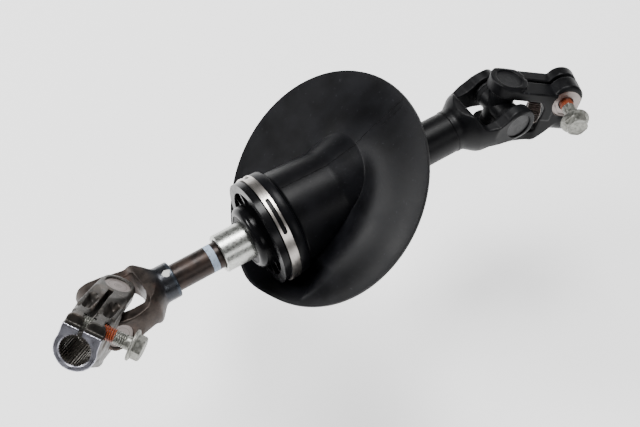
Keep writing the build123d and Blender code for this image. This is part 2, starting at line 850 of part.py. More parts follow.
for piece in (
    lower_clamp_yoke, lower_pinch_bolt, lower_cross, lower_tube_cups, lower_clamp_cups,
    lower_cross_seals, lower_tube_yoke, lower_shaft.part, slip_liner.part,
    slide_sleeve.part, upper_tube, upper_tube_yoke, upper_cross, upper_tube_cups,
    upper_clamp_cups, upper_cross_seals, upper_clamp_yoke, upper_pinch_bolt, hub.part,
    hub_bush, hub_seal, band_clamp.part, boot.part,
):
    export_step(piece, f"parts/{piece.label}.step")
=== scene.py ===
"""Looks of an intermediate steering shaft: forged yokes, plated sleeve, plastic hub and
rubber dash boot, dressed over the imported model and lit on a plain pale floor."""
import json
import math

import bmesh
import bpy
import numpy as np
from mathutils import Matrix, Vector


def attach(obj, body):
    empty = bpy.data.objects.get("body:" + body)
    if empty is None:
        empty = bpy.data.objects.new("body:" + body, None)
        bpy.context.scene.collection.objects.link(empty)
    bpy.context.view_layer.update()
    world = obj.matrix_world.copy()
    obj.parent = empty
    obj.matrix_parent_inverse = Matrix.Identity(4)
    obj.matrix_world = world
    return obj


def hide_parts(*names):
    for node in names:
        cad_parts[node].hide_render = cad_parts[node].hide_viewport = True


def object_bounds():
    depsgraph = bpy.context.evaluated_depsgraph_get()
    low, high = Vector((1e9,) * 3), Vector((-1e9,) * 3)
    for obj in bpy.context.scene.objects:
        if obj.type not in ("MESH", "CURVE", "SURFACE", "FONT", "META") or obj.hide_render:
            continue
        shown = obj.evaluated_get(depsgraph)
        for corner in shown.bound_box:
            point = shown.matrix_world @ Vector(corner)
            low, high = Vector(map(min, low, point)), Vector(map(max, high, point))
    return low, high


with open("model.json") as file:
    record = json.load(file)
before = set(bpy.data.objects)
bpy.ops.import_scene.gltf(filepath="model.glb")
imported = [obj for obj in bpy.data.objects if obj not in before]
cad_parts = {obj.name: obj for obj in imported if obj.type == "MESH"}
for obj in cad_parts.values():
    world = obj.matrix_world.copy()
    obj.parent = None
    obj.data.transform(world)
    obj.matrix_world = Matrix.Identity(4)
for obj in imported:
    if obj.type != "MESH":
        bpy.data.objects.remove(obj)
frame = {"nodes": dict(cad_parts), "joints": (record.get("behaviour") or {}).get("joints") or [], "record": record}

bl_info = {
    "name": "Steering Shaft Looks",
    "version": (1, 0, 0),
    "blender": (4, 5, 0),
    "location": "View3D > Sidebar > Shaft",
    "description": "Skins and finishes of an intermediate steering shaft",
    "category": "Object",
}

MM = 0.001
CAD_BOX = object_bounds()
RECORD = frame["record"]
NODES = frame["nodes"]

# Sizes in millimetres and angles in degrees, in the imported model's axes. The boot's
# flange and neck are the skin's own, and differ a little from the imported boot's.
FLANGE_SLOPE, FLANGE_ROLL, FLANGE_X = 53.0, 10.8, 33.6
FLANGE_RADIUS, FLANGE_UP = 69.5, 15.6
DISH_TURN, DISH_REACH, ROLL_TURN, ROLL_REACH = 10.0, 70.0, -62.0, 85.0
COLLAR_FRONT, COLLAR_RADIUS, RIDGE_RADIUS = 4.3, 31.25, 31.9
BAND_END, COLLAR_END = 10.2, 16.6
HUB_SEAT_RADIUS, HUB_SEAT_END = 28.42, 13.3
NECK_RADIUS, NECK_TOP_RADIUS, NECK_STEP_X, NECK_FLARE = 28.6, 27.6, 48.5, 15.0
BOOT_WALL, WELL_FLOOR, WELL_RADIUS = 2.4, 21.6, 32.57
SEAM_TURN = 7.2
SMEAR_PLACE = (57.5, 2.3, 30.0)
LOWER_LENGTH, UPPER_LENGTH, LOWER_BARREL_END = 51.7, 47.4, -53.0
LOWER_CUP, UPPER_CUP, CUP_GAP, CUP_REACH = 7.35, 8.05, 0.10, 24.0
BORE_START, BORE_PAST, BORE_CREST, BORE_ROOT, BORE_TEETH = 10.0, 2.0, 8.1, 8.9, 36
PLUG_START, PLUG_RADIUS, PLUG_SHORT = 26.0, 9.6, 0.05
DAB_PLACE, DAB_HOLLOW = (-58.0, 0.0, 12.0), (-58.6, 1.0, 12.0)
LOWER_BOLT, UPPER_BOLT = (12.6, 0.0, 42.6), (12.6, 0.0, 37.2)


class Yoke:
    """A clamp or tube yoke's own axes: x along its pins, y along its bolt, z outwards."""

    def __init__(self, side, kind, sign=1):
        joints = {joint["name"]: joint for joint in frame["joints"]}
        mounts = {mount["name"]: mount for mount in RECORD["mounts"]}
        self.origin = np.array(joints[side + "_swing"]["pos_m"]) / MM
        if kind == "clamp":
            self.x = np.array(joints[side + "_tilt"]["axis"]) * sign
            self.z = np.array(mounts[side + "_clamp"]["axis"])
        else:
            self.x = np.array(joints[side + "_swing"]["axis"])
            self.z = np.array([-math.copysign(1, self.origin[0]), 0.0, 0.0])
        self.x = self.x / np.linalg.norm(self.x)
        self.z = self.z / np.linalg.norm(self.z)
        self.y = np.cross(self.z, self.x)

    def world(self, points):
        """Points given along the yoke's own axes, in the row's axes."""
        points = np.asarray(points, float)
        return (
            self.origin
            + points[..., 0:1] * self.x
            + points[..., 1:2] * self.y
            + points[..., 2:3] * self.z
        )


LOWER_CLAMP = Yoke("lower", "clamp", -1)
UPPER_CLAMP = Yoke("upper", "clamp", 1)
LOWER_TUBE = Yoke("lower", "tube")
UPPER_TUBE = Yoke("upper", "tube")


class Finishes(bpy.types.PropertyGroup):
    """Colours of the shaft's finishes."""

    phosphate: bpy.props.FloatVectorProperty(
        name="Phosphate", description="Grey of the lower clamp yoke's forging",
        subtype="COLOR", default=(0.056, 0.052, 0.047), min=0.0, max=1.0,
    )
    scale: bpy.props.FloatVectorProperty(
        name="Heat scale", description="Brown of the lower tube yoke and the shaft",
        subtype="COLOR", default=(0.046, 0.036, 0.031), min=0.0, max=1.0,
    )
    paint: bpy.props.FloatVectorProperty(
        name="Black paint", description="Satin paint of the upper tube and yokes",
        subtype="COLOR", default=(0.0046, 0.0047, 0.0056), min=0.0, max=1.0,
    )
    rubber: bpy.props.FloatVectorProperty(
        name="Rubber", description="Black rubber of the dash boot",
        subtype="COLOR", default=(0.0040, 0.0041, 0.0052), min=0.0, max=1.0,
    )
    zinc: bpy.props.FloatVectorProperty(
        name="Zinc", description="Plating of the slide sleeve",
        subtype="COLOR", default=(0.56, 0.57, 0.54), min=0.0, max=1.0,
    )
    marker: bpy.props.FloatVectorProperty(
        name="Marker band", description="Pale paint round the lower shaft",
        subtype="COLOR", default=(0.42, 0.52, 0.66), min=0.0, max=1.0,
    )


class Forms(bpy.types.PropertyGroup):
    """Sizes of the skins."""

    voxel: bpy.props.FloatProperty(
        name="Forging grain", description="Voxel size of the forged skins",
        unit="LENGTH", default=0.00042, min=0.0003, max=0.002, precision=5,
    )
    rounding: bpy.props.IntProperty(
        name="Forging rounds", description="How often the forged skins are smoothed",
        default=26, min=0, max=60,
    )
    thread_pitch: bpy.props.FloatProperty(
        name="Thread pitch", description="Pitch of the pinch bolts",
        unit="LENGTH", default=0.00125, min=0.0005, max=0.003, precision=5,
    )
    dish: bpy.props.FloatProperty(
        name="Dish", description="How far the flange is drawn forward at the neck's foot",
        unit="LENGTH", default=0.009, min=0.0, max=0.02, precision=4,
    )
    roll: bpy.props.FloatProperty(
        name="Roll", description="Height of the soft roll on the flange's near side",
        unit="LENGTH", default=0.0065, min=0.0, max=0.02, precision=4,
    )


class StageSettings(bpy.types.PropertyGroup):
    """Camera, floor and lights."""

    azimuth: bpy.props.FloatProperty(
        name="Azimuth", description="Where the camera stands round the shaft",
        default=-31.87,
    )
    elevation: bpy.props.FloatProperty(
        name="Elevation", description="How far the camera looks down",
        default=59.98,
    )
    lens: bpy.props.FloatProperty(
        name="Lens", description="Focal length in millimetres", default=77.18,
    )
    floor_drop: bpy.props.FloatProperty(
        name="Floor drop", description="Gap between the shaft and the floor",
        unit="LENGTH", default=0.10, min=0.0,
    )
    floor: bpy.props.FloatVectorProperty(
        name="Floor", description="Colour of the floor",
        subtype="COLOR", default=(0.96, 0.96, 0.96), min=0.0, max=1.0,
    )


class Value:
    """A shader socket that takes part in arithmetic by adding Math nodes."""

    def __init__(self, finish, socket):
        self.finish = finish
        self.socket = socket

    def math(self, operation, *others, clamp=False):
        sockets = {number + 1: other for number, other in enumerate(others)}
        sockets[0] = self
        settings = {"operation": operation, "use_clamp": clamp}
        return self.finish.node("ShaderNodeMath", settings, sockets)

    def __add__(self, other):
        return self.math("ADD", other)

    def __sub__(self, other):
        return self.math("SUBTRACT", other)

    def __mul__(self, other):
        return self.math("MULTIPLY", other)

    def __truediv__(self, other):
        return self.math("DIVIDE", other)

    def __rsub__(self, other):
        return (self * -1.0) + other

    __radd__ = __add__
    __rmul__ = __mul__

    def __abs__(self):
        return self.math("ABSOLUTE")

    def above(self, edge, soft):
        """0 below edge, 1 above it, with a soft step this wide."""
        return ((self - edge) / soft + 0.5).math("ADD", 0.0, clamp=True)

    def below(self, edge, soft):
        """1 below edge, 0 above it."""
        return 1.0 - self.above(edge, soft)

    def most(self, other):
        return self.math("MAXIMUM", other)


class Finish:
    """A material on Object coordinates, in millimetres, that is put together in Python."""

    def __init__(self, name, roughness=0.5, metallic=0.0, **fixed):
        self.material = bpy.data.materials.new(name)
        self.material.use_nodes = True
        self.tree = self.material.node_tree
        self.shader = self.tree.nodes["Principled BSDF"]
        self.shader.inputs["Roughness"].default_value = roughness
        self.shader.inputs["Metallic"].default_value = metallic
        for key, value in fixed.items():
            self.shader.inputs[key.replace("_", " ")].default_value = value
        spot = self.node("ShaderNodeTexCoord", out="Object")
        settings = {"operation": "SCALE"}
        self.place = self.node("ShaderNodeVectorMath", settings, {0: spot, "Scale": 1 / MM})
        self.height = None

    def node(self, kind, settings=None, sockets=None, out=0):
        """Adds a node: its settings first, then the values or links of its sockets."""
        made = self.tree.nodes.new(kind)
        for key, value in (settings or {}).items():
            setattr(made, key, value)
        for key, value in (sockets or {}).items():
            self.join(made.inputs[key], value)
        return Value(self, made.outputs[out])

    def join(self, socket, value):
        if isinstance(value, Value):
            self.tree.links.new(value.socket, socket)
        elif socket.type == "RGBA" and len(value) == 3:
            socket.default_value = (*value, 1.0)
        else:
            socket.default_value = value

    def set(self, name, value):
        """Feeds one of the shader's own sockets."""
        self.join(self.shader.inputs[name], value)

    def along(self, direction, origin=(0.0, 0.0, 0.0)):
        """How far a point lies along a direction from an origin, in millimetres."""
        direction = np.asarray(direction, float)
        shift = float(np.dot(direction, origin))
        sockets = {0: self.place, 1: tuple(direction)}
        settings = {"operation": "DOT_PRODUCT"}
        return self.node("ShaderNodeVectorMath", settings, sockets, out="Value") - shift

    def from_axis(self, direction, origin):
        """Distance from an axis."""
        settings = {"operation": "SUBTRACT"}
        arm = self.node("ShaderNodeVectorMath", settings, {0: self.place, 1: tuple(origin)})
        settings = {"operation": "CROSS_PRODUCT"}
        turn = self.node("ShaderNodeVectorMath", settings, {0: arm, 1: tuple(direction)})
        settings = {"operation": "LENGTH"}
        return self.node("ShaderNodeVectorMath", settings, {0: turn}, out="Value")

    def from_point(self, point):
        """Distance from a point."""
        settings = {"operation": "DISTANCE"}
        sockets = {0: self.place, 1: tuple(point)}
        return self.node("ShaderNodeVectorMath", settings, sockets, out="Value")

    def stretched(self, factors):
        """The place with each axis multiplied, for drawn-out patterns."""
        settings = {"operation": "MULTIPLY"}
        return self.node("ShaderNodeVectorMath", settings, {0: self.place, 1: factors})

    def noise(self, size, detail=3.0, place=None):
        """Cloudy noise from 0 to 1, whose clouds are about this many millimetres."""
        sockets = {
            "Vector": place or self.place, "Scale": 1.0 / size, "Detail": detail,
            "Roughness": 0.55,
        }
        return self.node("ShaderNodeTexNoise", None, sockets)

    def speckle(self, size, low, high):
        """Noise stretched to full contrast between two of its levels."""
        return ((self.noise(size) - low) / (high - low)).math("ADD", 0.0, clamp=True)

    def blend(self, factor, first, second):
        """One colour where the factor is 0 and another where it is 1."""
        settings = {"data_type": "RGBA"}
        return self.node("ShaderNodeMix", settings, {0: factor, 6: first, 7: second}, out=2)

    def relief(self, height, depth):
        """Adds to the surface's relief: height from 0 to 1, depth in millimetres."""
        lift = height * (depth * MM)
        self.height = lift if self.height is None else self.height + lift

    def done(self):
        """Feeds the relief to the shader and gives the material back."""
        if self.height is not None:
            sockets = {"Height": self.height, "Distance": 1.0, "Strength": 1.0}
            self.set("Normal", self.node("ShaderNodeBump", None, sockets))
        return self.material

    def edges(self, low, high):
        """1 on sharp outer edges of a fine mesh."""
        sharp = self.node("ShaderNodeNewGeometry", None, None, out="Pointiness")
        return ((sharp - low) / (high - low)).math("ADD", 0.0, clamp=True)


def wear(shown, *nodes):
    """Gives each node's object this one material."""
    for name in nodes:
        slots = NODES[name].data.materials
        slots.clear()
        slots.append(shown)


def smooth_by_angle(obj, degrees=32.0):
    """Smooth shading that keeps edges sharper than this angle."""
    mesh = obj.data
    mesh.shade_smooth()
    work = bmesh.new()
    work.from_mesh(mesh)
    limit = math.radians(degrees)
    for edge in work.edges:
        if edge.is_manifold and edge.calc_face_angle(0.0) > limit:
            edge.smooth = False
    work.to_mesh(mesh)
    work.free()


def grid_skin(name, points, ring=False, sharp=32.0):
    """Mesh of a grid of points in millimetres, rows by columns.

    Columns close on themselves; rows close too in a ring, and are capped otherwise.
    """
    rows, columns = points.shape[:2]
    index = np.arange(rows * columns).reshape(rows, columns)
    right = np.roll(index, -1, axis=1)
    if ring:
        low, low_right = index, right
        high, high_right = np.roll(index, -1, axis=0), np.roll(right, -1, axis=0)
    else:
        low, low_right, high, high_right = index[:-1], right[:-1], index[1:], right[1:]
    faces = np.stack([low, low_right, high_right, high], axis=-1).reshape(-1, 4).tolist()
    if not ring:
        faces.append(index[0, ::-1].tolist())
        faces.append(index[-1].tolist())
    mesh = bpy.data.meshes.new(name)
    mesh.from_pydata((points.reshape(-1, 3) * MM).tolist(), [], faces)
    work = bmesh.new()
    work.from_mesh(mesh)
    bmesh.ops.remove_doubles(work, verts=work.verts, dist=1e-7)
    bmesh.ops.recalc_face_normals(work, faces=work.faces)
    work.to_mesh(mesh)
    work.free()
    obj = bpy.data.objects.new(name, mesh)
    bpy.context.scene.collection.objects.link(obj)
    smooth_by_angle(obj, sharp)
    return obj


def settle(obj, body, slot, shown, *stood_for):
    """Rides a finished piece on its body, gives it its material and hides the imported nodes it stands for; slot
    is not used.
    """
    obj.data.materials.clear()
    obj.data.materials.append(shown)
    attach(obj, body)
    if stood_for:
        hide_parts(*stood_for)
    return obj


def applied(obj):
    """The object with its modifiers worked into its mesh."""
    graph = bpy.context.evaluated_depsgraph_get()
    mesh = bpy.data.meshes.new_from_object(obj.evaluated_get(graph))
    obj.modifiers.clear()
    old = obj.data
    obj.data = mesh
    bpy.data.meshes.remove(old)
    return obj


def merged_copy(node, name):
    """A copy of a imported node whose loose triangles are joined."""
    mesh = NODES[node].data.copy()
    work = bmesh.new()
    work.from_mesh(mesh)
    bmesh.ops.remove_doubles(work, verts=work.verts, dist=2e-6)
    work.to_mesh(mesh)
    work.free()
    obj = bpy.data.objects.new(name, mesh)
    bpy.context.scene.collection.objects.link(obj)
    return obj


def solid_cylinder(yoke, start, end, radius, axis="z", centre=(0.0, 0.0), sides=96):
    """A cylinder or cone frustum on a yoke's axes, as a grid; radius may be a pair."""
    radii = radius if isinstance(radius, tuple) else (radius, radius)
    turn = np.linspace(0, 2 * math.pi, sides, endpoint=False)
    rows = []
    for place, size in ((start, radii[0]), (end, radii[1])):
        first = centre[0] + size * np.cos(turn)
        second = centre[1] + size * np.sin(turn)
        level = np.full(sides, float(place))
        order = {
            "x": (level, first, second),
            "y": (first, level, second),
            "z": (first, second, level),
        }[axis]
        rows.append(np.stack(order, axis=-1))
    return yoke.world(np.stack(rows))


def serrated_cutter(yoke, length):
    """A toothed bar: its radius steps between a crest and a root value in each pitch."""
    pitch = np.array([0.0, 0.16, 0.30, 0.50, 0.70, 0.84])
    level = np.array([1.0, 1.0, 0.0, 0.0, 0.0, 1.0])
    starts = np.arange(BORE_TEETH)[:, None]
    turn = (starts + pitch[None, :]).ravel() * 2 * math.pi / BORE_TEETH
    radius = BORE_CREST + (BORE_ROOT - BORE_CREST) * np.tile(level, BORE_TEETH)
    rows = [
        np.stack([radius * np.cos(turn), radius * np.sin(turn), np.full_like(turn, z)], -1)
        for z in (BORE_START, length + BORE_PAST)
    ]
    return yoke.world(np.stack(rows))


def cup_cutter(yoke, cup):
    """A bar along the yoke's pins that bores both of its cup seats."""
    return solid_cylinder(yoke, -CUP_REACH, CUP_REACH, cup + CUP_GAP, axis="x")


def bore_plug(yoke, length):
    """A bar that fills a clamp yoke's packed bore before it is cut again."""
    return solid_cylinder(yoke, PLUG_START, length - PLUG_SHORT, PLUG_RADIUS)


def block(yoke, low, high):
    """A box on a yoke's axes, as a grid of two rows."""
    corners = np.array([[low[0], low[1]], [high[0], low[1]], [high[0], high[1]], [low[0], high[1]]])
    rows = [np.c_[corners, np.full(4, z)] for z in (low[2], high[2])]
    return yoke.world(np.stack(rows))


def soften(obj, rounds):
    """Rounds a dense mesh: each point moves towards the mean of its neighbours, then
    most of the way back, so that edges soften and the size stays."""
    mesh = obj.data
    count = len(mesh.vertices)
    points = np.empty(count * 3)
    mesh.vertices.foreach_get("co", points)
    points = points.reshape(-1, 3)
    ends = np.empty(len(mesh.edges) * 2, np.int32)
    mesh.edges.foreach_get("vertices", ends)
    first, second = ends.reshape(-1, 2).T
    degree = np.bincount(np.r_[first, second], minlength=count)[:, None]
    for step in range(2 * rounds):
        total = np.stack([
            np.bincount(first, points[second, k], count)
            + np.bincount(second, points[first, k], count)
            for k in range(3)
        ], axis=-1)
        share = 0.62 if step % 2 == 0 else -0.58
        points = points + share * (total / degree - points)
    mesh.vertices.foreach_set("co", points.ravel())
    mesh.update()


def forged_skin(node, name, plug, cutters):
    """A forging's skin: the node remade in fine voxels, rounded, and then machined.

    plug fills what is cut afterwards, and each cutter is a closed grid of points.
    """
    forms = bpy.context.scene.shaft_forms
    obj = merged_copy(node, name)
    parts = [obj] + [grid_skin("plug", points) for points in plug]
    with bpy.context.temp_override(
        active_object=obj, selected_editable_objects=parts, selected_objects=parts
    ):
        bpy.ops.object.join()
    remesh = obj.modifiers.new("voxels", "REMESH")
    remesh.mode = "VOXEL"
    remesh.voxel_size = forms.voxel
    applied(obj)
    soften(obj, forms.rounding)
    for number, points in enumerate(cutters):
        cutter = grid_skin("cutter", points)
        cut = obj.modifiers.new("cut", "BOOLEAN")
        cut.operation = "DIFFERENCE"
        cut.solver = "MANIFOLD"
        cut.object = cutter
        applied(obj)
        bpy.data.objects.remove(cutter)
    smooth_by_angle(obj, 38.0)
    return obj


# Finishes.


def mottled_steel(name, colour, dark, light, warm, roughness):
    """Forged steel with a mottled conversion coat, paler fine speckle and brownish clouds; its callers add the
    lighter edges.
    """
    finish = Finish(name, metallic=0.72)
    clouds = finish.speckle(5.0, 0.36, 0.66)
    fine = finish.speckle(0.7, 0.35, 0.68)
    base = finish.blend(clouds, [c * dark for c in colour], [c * light for c in colour])
    base = finish.blend(fine * 0.35, base, [min(1.0, c * light * 1.25) for c in colour])
    stain = finish.speckle(11.0, 0.52, 0.72)
    base = finish.blend(stain * 0.55, base, warm)
    return finish, base, fine, roughness + 0.16 * clouds


def phosphate_forging():
    """Grey phosphated forging: its end face is turned bright, its bore broached."""
    colour = bpy.context.scene.shaft_finishes.phosphate
    finish, base, fine, rough = mottled_steel(
        "grey_phosphate", colour, 0.66, 1.25, (0.115, 0.088, 0.070), 0.36
    )
    yoke = LOWER_CLAMP
    height = finish.along(yoke.z, yoke.origin)
    radius = finish.from_axis(yoke.z, yoke.origin)
    face = height.above(LOWER_LENGTH - 0.55, 0.12)
    bore = radius.below(9.1, 0.1) * height.above(21.0, 0.5)
    scratch = finish.noise(0.8, place=finish.stretched((1.0, 3.0, 0.3)))
    # Lighter colour on the sharp edges: partly edge wear, partly a painted highlight.
    edge = finish.edges(0.57, 0.72)
    base = finish.blend(edge * 0.55, base, (0.33, 0.31, 0.29))
    base = finish.blend(bore, base, (0.20, 0.185, 0.165))
    turned = finish.blend(scratch, (0.30, 0.30, 0.35), (0.60, 0.60, 0.68))
    finish.set("Base Color", finish.blend(face, base, turned))
    finish.set("Metallic", 0.72 + 0.25 * face.most(bore))
    finish.set("Roughness", rough - 0.10 * face.most(bore))
    finish.relief(fine * (1.0 - face), 0.02)
    finish.relief((radius * 9.0).math("SINE") * face, 0.006)
    return finish.done()


def scaled_forging():
    """Dark tube yoke: brown heat scale, glossy blue-grey barrel end, one paint dab."""
    colour = bpy.context.scene.shaft_finishes.scale
    finish, base, fine, rough = mottled_steel(
        "heat_scale", colour, 0.62, 1.45, (0.105, 0.060, 0.046), 0.36
    )
    x = finish.along((1.0, 0.0, 0.0))
    tint = x.above(-65.5, 5.0)
    ring = x.above(LOWER_BARREL_END - 3.4, 0.5)
    # Lighter brown on the sharp edges: partly edge wear, partly a painted highlight.
    edge = finish.edges(0.57, 0.72)
    base = finish.blend(edge * 0.5, base, (0.26, 0.21, 0.18))
    base = finish.blend(tint * 0.85, base, (0.030, 0.035, 0.043))
    base = finish.blend(ring * 0.7, base, (0.048, 0.059, 0.075))
    wobble = finish.noise(2.2) * 2.4 - 1.2
    dab = (finish.from_point(DAB_PLACE) + wobble).below(2.7, 0.25)
    thumb = (finish.from_point(DAB_HOLLOW) + wobble * 0.5).below(0.75, 0.2)
    dab = dab * (1.0 - thumb)
    finish.set("Base Color", finish.blend(dab, base, (0.72, 0.72, 0.70)))
    finish.set("Metallic", 0.72 - 0.72 * dab)
    finish.set("Roughness", rough - 0.12 * tint + 0.15 * dab)
    finish.relief(fine, 0.02)
    finish.relief(dab, 0.06)
    return finish.done()


def drawn_bar():
    """Brown-black drawn shaft with a pale paint band beside the sleeve."""
    colours = bpy.context.scene.shaft_finishes
    finish = Finish("drawn_bar", metallic=0.55)
    streaks = finish.noise(1.2, place=finish.stretched((0.08, 1.0, 1.0)))
    clouds = finish.speckle(6.0, 0.38, 0.68)
    base = finish.blend(clouds, (0.016, 0.012, 0.0115), (0.045, 0.028, 0.022))
    base = finish.blend(streaks * 0.35, base, (0.060, 0.044, 0.036))
    x = finish.along((1.0, 0.0, 0.0))
    ragged = finish.noise(2.5) * 1.6 - 0.8
    band = (x + ragged * 0.5).above(-32.4, 0.25) * (x - ragged * 0.4).below(-28.3, 0.25)
    worn = finish.speckle(1.4, 0.30, 0.44)
    band = band * (0.35 + 0.65 * worn)
    finish.set("Base Color", finish.blend(band, base, colours.marker))
    finish.set("Metallic", 0.55 - 0.55 * band)
    finish.set("Roughness", 0.34 + 0.12 * clouds + 0.2 * band)
    finish.relief(streaks, 0.012)
    finish.relief(band, 0.03)
    return finish.done()


def cap_steel(name, yoke, reach, colour, groove, metallic, roughness):
    """Bearing cup with a centre ring and an outer ring turned in its end face."""
    finish = Finish(name, metallic=metallic)
    radius = finish.from_axis(yoke.x, yoke.origin)
    clouds = finish.speckle(3.0, 0.35, 0.68)
    face = abs(finish.along(yoke.x, yoke.origin)).above(reach - 0.1, 0.1)
    line = abs(radius - 1.9).below(0.16, 0.15).most(abs(radius - 5.2).below(0.12, 0.15))
    line = line.most(radius.below(1.2, 0.3) * 0.5) * face
    base = finish.blend(clouds, [c * 0.85 for c in colour], [c * 1.1 for c in colour])
    finish.set("Base Color", finish.blend(line * groove, base, [c * 0.3 for c in colour]))
    finish.set("Roughness", roughness + 0.12 * clouds)
    finish.relief((radius * 16.0).math("SINE") * face, 0.004)
    finish.relief(line * -1.0, 0.05)
    return finish.done()


def zinc_plate(name, colour, roughness):
    """Bright zinc: pale crystals, drawn marks round the axis and small scuffs."""
    finish = Finish(name, metallic=0.93)
    marks = finish.noise(0.6, place=finish.stretched((1.0, 0.25, 0.25)))
    clouds = finish.speckle(1.6, 0.38, 0.64)
    base = finish.blend(clouds, [c * 0.80 for c in colour], [min(1, c * 1.12) for c in colour])
    scuff = finish.speckle(4.0, 0.60, 0.72)
    finish.set("Base Color", finish.blend(scuff * 0.15, base, [c * 0.55 for c in colour]))
    finish.set("Roughness", roughness + 0.10 * clouds)
    finish.relief(marks, 0.004)
    return finish.done()


def paint_coat(name):
    """Start of a satin black paint: faint orange peel and cool, dusty clouds."""
    colour = bpy.context.scene.shaft_finishes.paint
    finish = Finish(name, Specular_IOR_Level=0.20)
    peel = finish.noise(0.9, detail=2.0)
    clouds = finish.speckle(9.0, 0.36, 0.70)
    base = finish.blend(clouds, [c * 0.70 for c in colour], [c * 1.5 for c in colour])
    finish.set("Roughness", 0.36 + 0.14 * clouds)
    return finish, peel, base


def black_paint():
    """Satin black paint of the tube, its yoke and the cross."""
    finish, peel, base = paint_coat("satin_black_paint")
    finish.set("Base Color", base)
    finish.relief(peel, 0.025)
    return finish.done()


def spot_faced_paint():
    """Black paint with the bare, turned seat of the upper bolt's head."""
    yoke = UPPER_CLAMP
    finish, peel, base = paint_coat("painted_clamp_yoke")
    bolt = yoke.world(np.array(UPPER_BOLT))
    radius = finish.from_axis(yoke.y, bolt)
    seat = radius.below(9.25, 0.15) * abs(finish.along(yoke.y, yoke.origin)).above(9.3, 0.1)
    seat = seat * finish.along(yoke.y, yoke.origin).above(0.0, 0.1)
    rings = (radius * 11.0).math("SINE")
    bore = finish.from_axis(yoke.z, yoke.origin).below(9.1, 0.1)
    bare = seat.most(bore)
    # Lighter grey on the paint's sharp edges: partly worn paint, partly a painted highlight.
    edge = finish.edges(0.53, 0.60)
    base = finish.blend(edge * 0.25, base, (0.10, 0.10, 0.11))
    finish.set("Base Color", finish.blend(bare, base, (0.34, 0.30, 0.285)))
    finish.set("Metallic", bare * 0.9)
    finish.relief(peel * (1.0 - bare), 0.025)
    finish.relief(rings * seat, 0.006)
    return finish.done()


def boot_seams(finish):
    """Mould lines of the boot: one along its neck and flange and a short one beside it on the flange, and a mask
    of its collar.
    """
    turn = math.radians(SEAM_TURN)
    side = finish.along((0.0, math.cos(turn), -math.sin(turn)))
    up = finish.along((0.0, math.sin(turn), math.cos(turn)))
    x = finish.along((1.0, 0.0, 0.0))
    line = abs(side).below(0.20, 0.14) * x.above(COLLAR_END + 1.5, 0.2)
    line = line * abs(up).above(20.0, 0.2)
    short = abs(side + 3.4).below(0.18, 0.12) * up.above(42.0, 0.6) * up.below(49.0, 0.6)
    return line, short, x.below(COLLAR_END, 0.2)


def boot_rubber():
    """Black rubber: cool bloom in clouds, fine grain, and moulding lines."""
    colour = bpy.context.scene.shaft_finishes.rubber
    finish = Finish("boot_rubber", Specular_IOR_Level=0.13)
    bloom = finish.speckle(16.0, 0.34, 0.72)
    fine = finish.speckle(0.5, 0.40, 0.66)
    dust = finish.speckle(2.0, 0.66, 0.74)
    base = finish.blend(bloom, [c * 0.6 for c in colour], [c * 1.8 for c in colour])
    base = finish.blend(dust * 0.25, base, (0.06, 0.06, 0.07))
    line, short, collar = boot_seams(finish)
    base = finish.blend(line.most(short) * 0.8, base, (0.001, 0.001, 0.001))
    finish.set("Base Color", base)
    smear = (finish.from_point(SMEAR_PLACE) + finish.noise(3.0) * 3.0).below(5.2, 1.2)
    finish.set("Roughness", 0.37 + 0.08 * bloom + 0.22 * smear - 0.06 * collar)
    finish.relief(fine, 0.012)
    finish.relief(line.most(short) * -1.0, 0.22)
    return finish.done()


def moulded_black(name, roughness):
    """Black moulded plastic with a faint flow texture."""
    finish = Finish(name, Specular_IOR_Level=0.16)
    clouds = finish.speckle(7.0, 0.35, 0.70)
    base = finish.blend(clouds, (0.0035, 0.0035, 0.004), (0.007, 0.007, 0.008))
    finish.set("Base Color", base)
    finish.set("Roughness", roughness + 0.10 * clouds)
    finish.relief(finish.noise(3.0), 0.02)
    return finish.done()


def stainless_band():
    """Stainless strip, brushed round the collar."""
    finish = Finish("stainless_band", metallic=1.0)
    brush = finish.noise(0.35, place=finish.stretched((1.0, 0.04, 0.04)))
    clouds = finish.speckle(5.0, 0.35, 0.68)
    finish.set("Base Color", finish.blend(clouds, (0.50, 0.47, 0.44), (0.66, 0.62, 0.58)))
    finish.set("Roughness", 0.22 + 0.16 * brush)
    finish.relief(brush, 0.006)
    return finish.done()


def bolt_flake(name, yoke, bolt, orange_from, orange_to, outward):
    """Zinc-flake bolt with a patch of orange locking compound on its thread."""
    finish = Finish(name, metallic=0.80)
    clouds = finish.speckle(1.8, 0.36, 0.66)
    base = finish.blend(clouds, (0.20, 0.20, 0.182), (0.40, 0.40, 0.365))
    place = finish.along(yoke.y * outward, yoke.origin)
    radius = finish.from_axis(yoke.y, yoke.world(np.array(bolt)))
    ragged = finish.noise(1.5) * 2.4 - 1.2
    patch = (place + ragged).above(orange_from, 0.5) * (place + ragged).below(orange_to, 0.5)
    patch = patch * radius.below(4.3, 0.2)
    crest = radius.above(3.65, 0.35)
    worn = finish.blend(crest * 0.75, (0.14, 0.022, 0.008), (0.42, 0.085, 0.020))
    finish.set("Base Color", finish.blend(patch, base, worn))
    finish.set("Metallic", 0.80 - 0.78 * patch)
    finish.set("Roughness", 0.38 + 0.15 * clouds)
    finish.relief(finish.noise(0.5), 0.006)
    return finish.done()


# Pieces.


